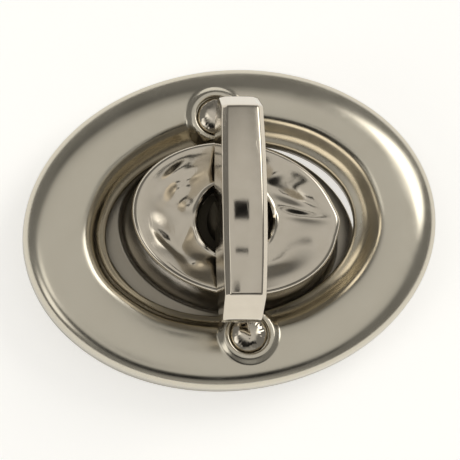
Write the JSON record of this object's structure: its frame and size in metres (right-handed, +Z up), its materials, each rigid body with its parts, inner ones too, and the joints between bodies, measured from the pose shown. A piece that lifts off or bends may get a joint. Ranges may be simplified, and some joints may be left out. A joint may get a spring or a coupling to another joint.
{
  "type": "turn-lock clasp",
  "caption": "Oval turn-lock clasp: a slotted ring with two domed studs lies over an oval post whose turning knob locks it.",
  "frame": {"origin": "on the knob's axis, in the plane of the post half's backing plate that the clasp rests on", "axes": "+X along the ring's long axis, +Y along its short axis through the two studs, +Z up along the knob's axis"},
  "size_m": [0.0346, 0.027, 0.0161],
  "materials": {
    "satin_nickel_plate": "nickel plate over zinc, satin to semi-bright",
    "bright_nickel_plate": "bright nickel plate over cast zinc",
    "plated_steel": "dull nickel-plated steel",
    "spring_steel": "bare spring steel"
  },
  "bodies": {
    "post_half": {"post_base": "bright_nickel_plate", "base_back_plate": "plated_steel", "base_screw_left": "plated_steel", "base_screw_right": "plated_steel", "wave_washer": "spring_steel"},
    "ring_half": {"ring_plate": "satin_nickel_plate", "ring_stud_front": "bright_nickel_plate", "ring_stud_rear": "bright_nickel_plate", "ring_back_plate": "plated_steel", "ring_screw_front": "plated_steel", "ring_screw_rear": "plated_steel"},
    "turning_knob": {"knob": "bright_nickel_plate", "retaining_washer": "plated_steel", "pivot_screw": "plated_steel"}
  },
  "joints": [
    {"name": "knob_turn", "type": "hinge", "parent": "post_half", "child": "turning_knob", "pos_m": [0, 0, 0.006], "axis": [0, 0, 1], "continuous": true},
    {"name": "ring_lift", "type": "slide", "parent": "post_half", "child": "ring_half", "axis": [0, 0, 1], "range_m": [0, 0.003]}
  ]
}
